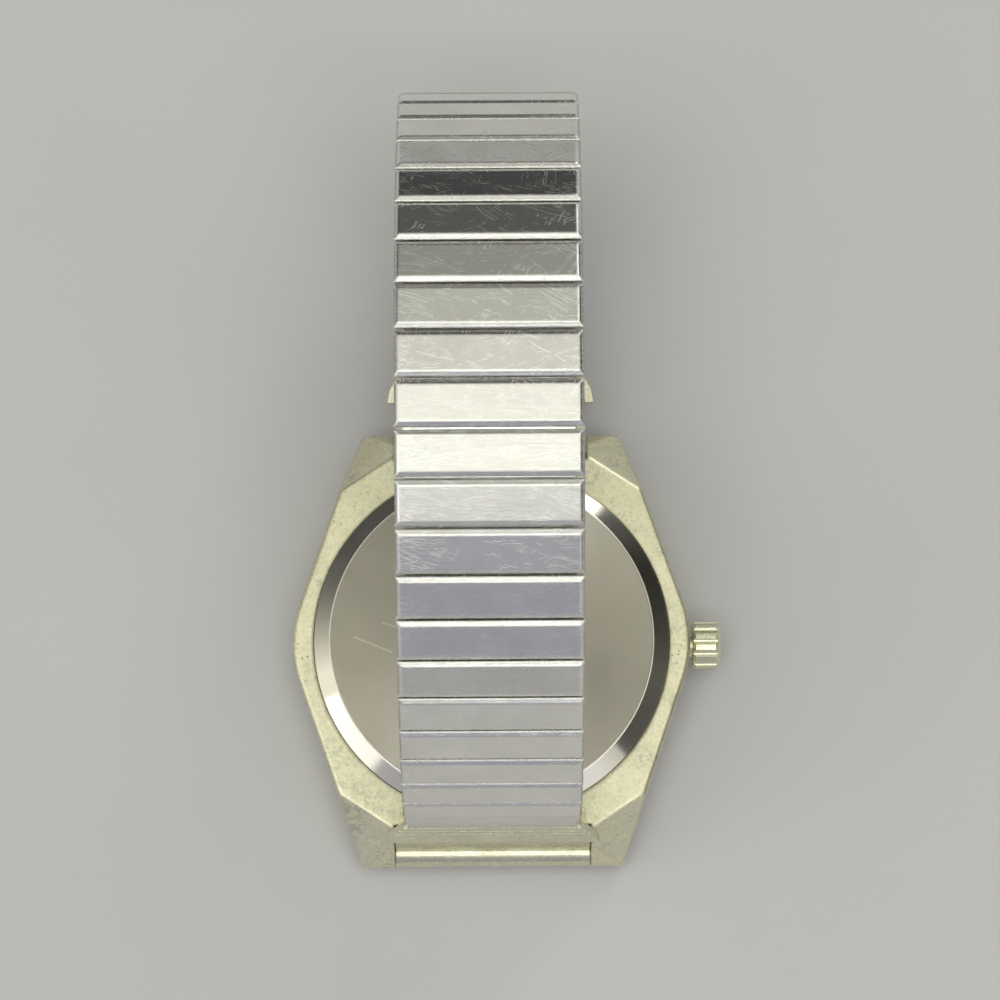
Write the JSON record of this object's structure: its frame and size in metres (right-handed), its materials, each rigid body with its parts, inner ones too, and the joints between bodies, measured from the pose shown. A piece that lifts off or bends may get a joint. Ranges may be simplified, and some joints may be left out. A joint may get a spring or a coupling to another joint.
{
  "type": "analog wristwatch",
  "caption": "Analog quartz wristwatch with a champagne tonneau case, a pressed-on steel back, a fluted crown and a closed steel expansion bracelet whose caps spread apart.",
  "frame": {"origin": "centre of the crystal's outer face, on the axis of the hands", "axes": "+Z out through the case back, +X towards the crown, +Y towards 6 o'clock"},
  "size_m": [0.0395, 0.0673, 0.0492],
  "materials": {
    "case_gold": "champagne plating, satin, worn and pitted",
    "back_steel": "fine brushed steel with scratches",
    "band_steel": "polished steel with fine scratches",
    "crown_gold": "champagne plating, satin; the stem behind it bright steel",
    "end_gold": "worn champagne plating; staples, spring and last cap bright steel",
    "crystal_glass": "clear polished glass",
    "seal_rubber": "soft black rubber",
    "dial_silver": "silvered with a fine sunray brush",
    "hand_gold": "polished",
    "ring_plastic": "white moulded plastic",
    "nickel": "nickel plated, fine grained",
    "bare_steel": "bright machined steel",
    "cell_steel": "pressed nickel-plated steel",
    "clip_brass": "gold-plated spring brass",
    "board_green": "green solder resist",
    "coil_copper": "enamelled copper wire",
    "stator_iron": "soft magnetic sheet",
    "wheel_brass": "gilt brass",
    "rotor_magnet": "sintered magnet"
  },
  "bodies": {
    "case": {"case_body": "case_gold", "case_back": "back_steel", "gaskets": "seal_rubber", "crystal": "crystal_glass", "dial": "dial_silver", "movement_ring": "ring_plastic", "main_plate": "nickel", "train_bridge": "nickel", "battery": "cell_steel", "battery_clip": "clip_brass", "circuit_board": "board_green", "coil": "coil_copper", "stator": "stator_iron", "screws": "bare_steel", "spring_bars": "bare_steel"},
    "band_end_12": {"band_end_12": "end_gold"},
    "band_end_6": {"band_end_6": "end_gold"},
    "link_01": {"link_01": "band_steel"},
    "link_02": {"link_02": "band_steel"},
    "link_03": {"link_03": "band_steel"},
    "link_04": {"link_04": "band_steel"},
    "link_05": {"link_05": "band_steel"},
    "link_06": {"link_06": "band_steel"},
    "link_07": {"link_07": "band_steel"},
    "link_08": {"link_08": "band_steel"},
    "link_09": {"link_09": "band_steel"},
    "link_10": {"link_10": "band_steel"},
    "link_11": {"link_11": "band_steel"},
    "link_12": {"link_12": "band_steel"},
    "link_13": {"link_13": "band_steel"},
    "link_14": {"link_14": "band_steel"},
    "link_15": {"link_15": "band_steel"},
    "link_16": {"link_16": "band_steel"},
    "link_17": {"link_17": "band_steel"},
    "link_18": {"link_18": "band_steel"},
    "link_19": {"link_19": "band_steel"},
    "link_20": {"link_20": "band_steel"},
    "link_21": {"link_21": "band_steel"},
    "link_22": {"link_22": "band_steel"},
    "link_23": {"link_23": "band_steel"},
    "link_24": {"link_24": "band_steel"},
    "link_25": {"link_25": "band_steel"},
    "link_26": {"link_26": "band_steel"},
    "link_27": {"link_27": "band_steel"},
    "link_28": {"link_28": "band_steel"},
    "link_29": {"link_29": "band_steel"},
    "link_30": {"link_30": "band_steel"},
    "seconds": {"fourth_wheel": "wheel_brass", "second_hand": "hand_gold"},
    "minutes": {"centre_wheel": "wheel_brass", "minute_hand": "hand_gold"},
    "hours": {"hour_wheel": "wheel_brass", "hour_hand": "hand_gold"},
    "rotor": {"rotor": "rotor_magnet"},
    "fifth_wheel": {"fifth_wheel": "wheel_brass"},
    "third_wheel": {"third_wheel": "wheel_brass"},
    "minute_wheel": {"minute_wheel": "wheel_brass"},
    "clutch_pinion": {"clutch_pinion": "bare_steel"},
    "crown": {"crown": "crown_gold"},
    "setting_lever": {"setting_lever": "bare_steel"}
  },
  "joints": [
    {"name": "band_stretch", "type": "slide", "parent": "case", "child": "link_11", "axis": [0, 0.3192, 0.9477], "range_m": [0, 0.01239], "stiffness_N_per_m": 12},
    {"name": "link_01_swing", "type": "hinge", "parent": "case", "child": "link_01", "pos_m": [0, -0.04866, -0.00031], "axis": [1, 0, 0], "range_deg": [0, 2.36]},
    {"name": "link_02_swing", "type": "hinge", "parent": "case", "child": "link_02", "pos_m": [0, -0.07603, 0.00243], "axis": [1, 0, 0], "range_deg": [0, 2.43]},
    {"name": "link_03_swing", "type": "hinge", "parent": "case", "child": "link_03", "pos_m": [0, -0.10158, 0.00799], "axis": [1, 0, 0], "range_deg": [0, 2.5]},
    {"name": "link_04_swing", "type": "hinge", "parent": "case", "child": "link_04", "pos_m": [0, -0.12507, 0.0161], "axis": [1, 0, 0], "range_deg": [0, 2.56]},
    {"name": "link_05_swing", "type": "hinge", "parent": "case", "child": "link_05", "pos_m": [0, -0.14653, 0.02648], "axis": [1, 0, 0], "range_deg": [0, 2.63]},
    {"name": "link_06_swing", "type": "hinge", "parent": "case", "child": "link_06", "pos_m": [0, -0.16558, 0.03886], "axis": [1, 0, 0], "range_deg": [0, 2.7]},
    {"name": "link_07_swing", "type": "hinge", "parent": "case", "child": "link_07", "pos_m": [0, -0.18243, 0.05296], "axis": [1, 0, 0], "range_deg": [0, 2.76]},
    {"name": "link_08_swing", "type": "hinge", "parent": "case", "child": "link_08", "pos_m": [0, -0.19691, 0.06851], "axis": [1, 0, 0], "range_deg": [0, 2.83]},
    {"name": "link_09_swing", "type": "hinge", "parent": "case", "child": "link_09", "pos_m": [0, -0.31878, 0.10667], "axis": [1, 0, 0], "range_deg": [0, 1.89]},
    {"name": "link_10_swing", "type": "hinge", "parent": "case", "child": "link_10", "pos_m": [0, -0.96087, 0.29788], "axis": [1, 0, 0], "range_deg": [0, 0.6684]},
    {"name": "link_12_swing", "type": "hinge", "parent": "case", "child": "link_12", "pos_m": [0, 0.4011, -0.11294], "axis": [-1, 0, 0], "range_deg": [0, 1.77]},
    {"name": "link_13_swing", "type": "hinge", "parent": "case", "child": "link_13", "pos_m": [0, 0.24696, -0.06767], "axis": [-1, 0, 0], "range_deg": [0, 2.99]},
    {"name": "link_14_swing", "type": "hinge", "parent": "case", "child": "link_14", "pos_m": [0, 0.1811, -0.04872], "axis": [-1, 0, 0], "range_deg": [0, 4.21]},
    {"name": "link_15_swing", "type": "hinge", "parent": "case", "child": "link_15", "pos_m": [0, 0.1441, -0.03829], "axis": [-1, 0, 0], "range_deg": [0, 5.42]},
    {"name": "link_16_swing", "type": "hinge", "parent": "case", "child": "link_16", "pos_m": [0, 0.12, -0.03155], "axis": [-1, 0, 0], "range_deg": [0, 6.64]},
    {"name": "link_17_swing", "type": "hinge", "parent": "case", "child": "link_17", "pos_m": [0, 0.10284, -0.0267], "axis": [-1, 0, 0], "range_deg": [0, 7.86]},
    {"name": "link_18_swing", "type": "hinge", "parent": "case", "child": "link_18", "pos_m": [0, 0.08988, -0.02296], "axis": [-1, 0, 0], "range_deg": [0, 9.07]},
    {"name": "link_19_swing", "type": "hinge", "parent": "case", "child": "link_19", "pos_m": [0, 0.07965, -0.01986], "axis": [-1, 0, 0], "range_deg": [0, 10.29]},
    {"name": "link_20_swing", "type": "hinge", "parent": "case", "child": "link_20", "pos_m": [0, 0.0713, -0.01715], "axis": [-1, 0, 0], "range_deg": [0, 11.51]},
    {"name": "link_21_swing", "type": "hinge", "parent": "case", "child": "link_21", "pos_m": [0, 0.06435, -0.01471], "axis": [-1, 0, 0], "range_deg": [0, 12.72]},
    {"name": "link_22_swing", "type": "hinge", "parent": "case", "child": "link_22", "pos_m": [0, 0.05845, -0.01242], "axis": [-1, 0, 0], "range_deg": [0, 13.94]},
    {"name": "link_23_swing", "type": "hinge", "parent": "case", "child": "link_23", "pos_m": [0, 0.05391, -0.01613], "axis": [-1, 0, 0], "range_deg": [0, 13.27]},
    {"name": "link_24_swing", "type": "hinge", "parent": "case", "child": "link_24", "pos_m": [0, 0.04857, -0.02048], "axis": [-1, 0, 0], "range_deg": [0, 12.21]},
    {"name": "link_25_swing", "type": "hinge", "parent": "case", "child": "link_25", "pos_m": [0, 0.04269, -0.02128], "axis": [-1, 0, 0], "range_deg": [0, 11.81]},
    {"name": "link_26_swing", "type": "hinge", "parent": "case", "child": "link_26", "pos_m": [0, 0.03673, -0.02067], "axis": [-1, 0, 0], "range_deg": [0, 11.41]},
    {"name": "link_27_swing", "type": "hinge", "parent": "case", "child": "link_27", "pos_m": [0, 0.03099, -0.01862], "axis": [-1, 0, 0], "range_deg": [0, 11.01]},
    {"name": "link_28_swing", "type": "hinge", "parent": "case", "child": "link_28", "pos_m": [0, 0.02581, -0.01514], "axis": [-1, 0, 0], "range_deg": [0, 10.6]},
    {"name": "link_29_swing", "type": "hinge", "parent": "case", "child": "link_29", "pos_m": [0, 0.02151, -0.01034], "axis": [-1, 0, 0], "range_deg": [0, 10.2]},
    {"name": "link_30_swing", "type": "hinge", "parent": "case", "child": "link_30", "pos_m": [0, 0.01842, -0.00435], "axis": [-1, 0, 0], "range_deg": [0, 9.8]},
    {"name": "band_end_12_swing", "type": "hinge", "parent": "case", "child": "band_end_12", "pos_m": [0, -0.019, 0.0027], "axis": [1, 0, 0], "range_deg": [0, 3]},
    {"name": "band_end_6_swing", "type": "hinge", "parent": "case", "child": "band_end_6", "pos_m": [0, 0.019, 0.0027], "axis": [-1, 0, 0], "range_deg": [0, 11]},
    {"name": "second_turn", "type": "hinge", "parent": "case", "child": "seconds", "pos_m": [0, 0, 0.005], "axis": [0, 0, 1], "continuous": true},
    {"name": "rotor_turn", "type": "hinge", "parent": "case", "child": "rotor", "pos_m": [-0.00132, 0.00474, 0.005], "axis": [0, 0, 1], "continuous": true},
    {"name": "fifth_turn", "type": "hinge", "parent": "case", "child": "fifth_wheel", "pos_m": [-0.00132, 0.00229, 0.005], "axis": [0, 0, 1], "continuous": true},
    {"name": "third_turn", "type": "hinge", "parent": "case", "child": "third_wheel", "pos_m": [-0.00059, -0.00335, 0.005], "axis": [0, 0, 1], "continuous": true},
    {"name": "minute_turn", "type": "hinge", "parent": "case", "child": "minutes", "pos_m": [0, 0, 0.005], "axis": [0, 0, 1], "continuous": true},
    {"name": "minute_wheel_turn", "type": "hinge", "parent": "case", "child": "minute_wheel", "pos_m": [0.00271, -0.00098, 0.005], "axis": [0, 0, 1], "continuous": true},
    {"name": "hour_turn", "type": "hinge", "parent": "case", "child": "hours", "pos_m": [0, 0, 0.005], "axis": [0, 0, 1], "continuous": true},
    {"name": "crown_turn", "type": "hinge", "parent": "case", "child": "clutch_pinion", "pos_m": [0.006, 0, 0.00445], "axis": [1, 0, 0], "continuous": true},
    {"name": "crown_pull", "type": "slide", "parent": "clutch_pinion", "child": "crown", "axis": [1, 0, 0], "range_m": [0, 0.001]},
    {"name": "lever_turn", "type": "hinge", "parent": "case", "child": "setting_lever", "pos_m": [0.0104, 0.0026, 0.0053], "axis": [0, 0, 1], "range_deg": [0, 22.18]}
  ],
  "couplings": [
    {"joint": "link_01_swing", "follows": "band_stretch", "rad_per_m": 3.3225},
    {"joint": "link_02_swing", "follows": "band_stretch", "rad_per_m": 3.4178},
    {"joint": "link_03_swing", "follows": "band_stretch", "rad_per_m": 3.5106},
    {"joint": "link_04_swing", "follows": "band_stretch", "rad_per_m": 3.6053},
    {"joint": "link_05_swing", "follows": "band_stretch", "rad_per_m": 3.6968},
    {"joint": "link_06_swing", "follows": "band_stretch", "rad_per_m": 3.7922},
    {"joint": "link_07_swing", "follows": "band_stretch", "rad_per_m": 3.8845},
    {"joint": "link_08_swing", "follows": "band_stretch", "rad_per_m": 3.9763},
    {"joint": "link_09_swing", "follows": "band_stretch", "rad_per_m": 2.6517},
    {"joint": "link_10_swing", "follows": "band_stretch", "rad_per_m": 0.93837},
    {"joint": "link_12_swing", "follows": "band_stretch", "rad_per_m": 2.4891},
    {"joint": "link_13_swing", "follows": "band_stretch", "rad_per_m": 4.2036},
    {"joint": "link_14_swing", "follows": "band_stretch", "rad_per_m": 5.9186},
    {"joint": "link_15_swing", "follows": "band_stretch", "rad_per_m": 7.6304},
    {"joint": "link_16_swing", "follows": "band_stretch", "rad_per_m": 9.3445},
    {"joint": "link_17_swing", "follows": "band_stretch", "rad_per_m": 11.06},
    {"joint": "link_18_swing", "follows": "band_stretch", "rad_per_m": 12.773},
    {"joint": "link_19_swing", "follows": "band_stretch", "rad_per_m": 14.487},
    {"joint": "link_20_swing", "follows": "band_stretch", "rad_per_m": 16.202},
    {"joint": "link_21_swing", "follows": "band_stretch", "rad_per_m": 17.914},
    {"joint": "link_22_swing", "follows": "band_stretch", "rad_per_m": 19.628},
    {"joint": "link_23_swing", "follows": "band_stretch", "rad_per_m": 18.69},
    {"joint": "link_24_swing", "follows": "band_stretch", "rad_per_m": 17.195},
    {"joint": "link_25_swing", "follows": "band_stretch", "rad_per_m": 16.626},
    {"joint": "link_26_swing", "follows": "band_stretch", "rad_per_m": 16.061},
    {"joint": "link_27_swing", "follows": "band_stretch", "rad_per_m": 15.495},
    {"joint": "link_28_swing", "follows": "band_stretch", "rad_per_m": 14.929},
    {"joint": "link_29_swing", "follows": "band_stretch", "rad_per_m": 14.363},
    {"joint": "link_30_swing", "follows": "band_stretch", "rad_per_m": 13.797},
    {"joint": "band_end_12_swing", "follows": "band_stretch", "rad_per_m": 4.2244},
    {"joint": "band_end_6_swing", "follows": "band_stretch", "rad_per_m": 15.489},
    {"joint": "rotor_turn", "follows": "second_turn", "ratio": 30},
    {"joint": "fifth_turn", "follows": "second_turn", "ratio": -5},
    {"joint": "third_turn", "follows": "second_turn", "ratio": -0.13333},
    {"joint": "minute_turn", "follows": "second_turn", "ratio": 0.016667},
    {"joint": "minute_wheel_turn", "follows": "second_turn", "ratio": -0.0055556},
    {"joint": "hour_turn", "follows": "second_turn", "ratio": 0.0013889},
    {"joint": "lever_turn", "follows": "crown_pull", "rad_per_m": 387.03}
  ]
}
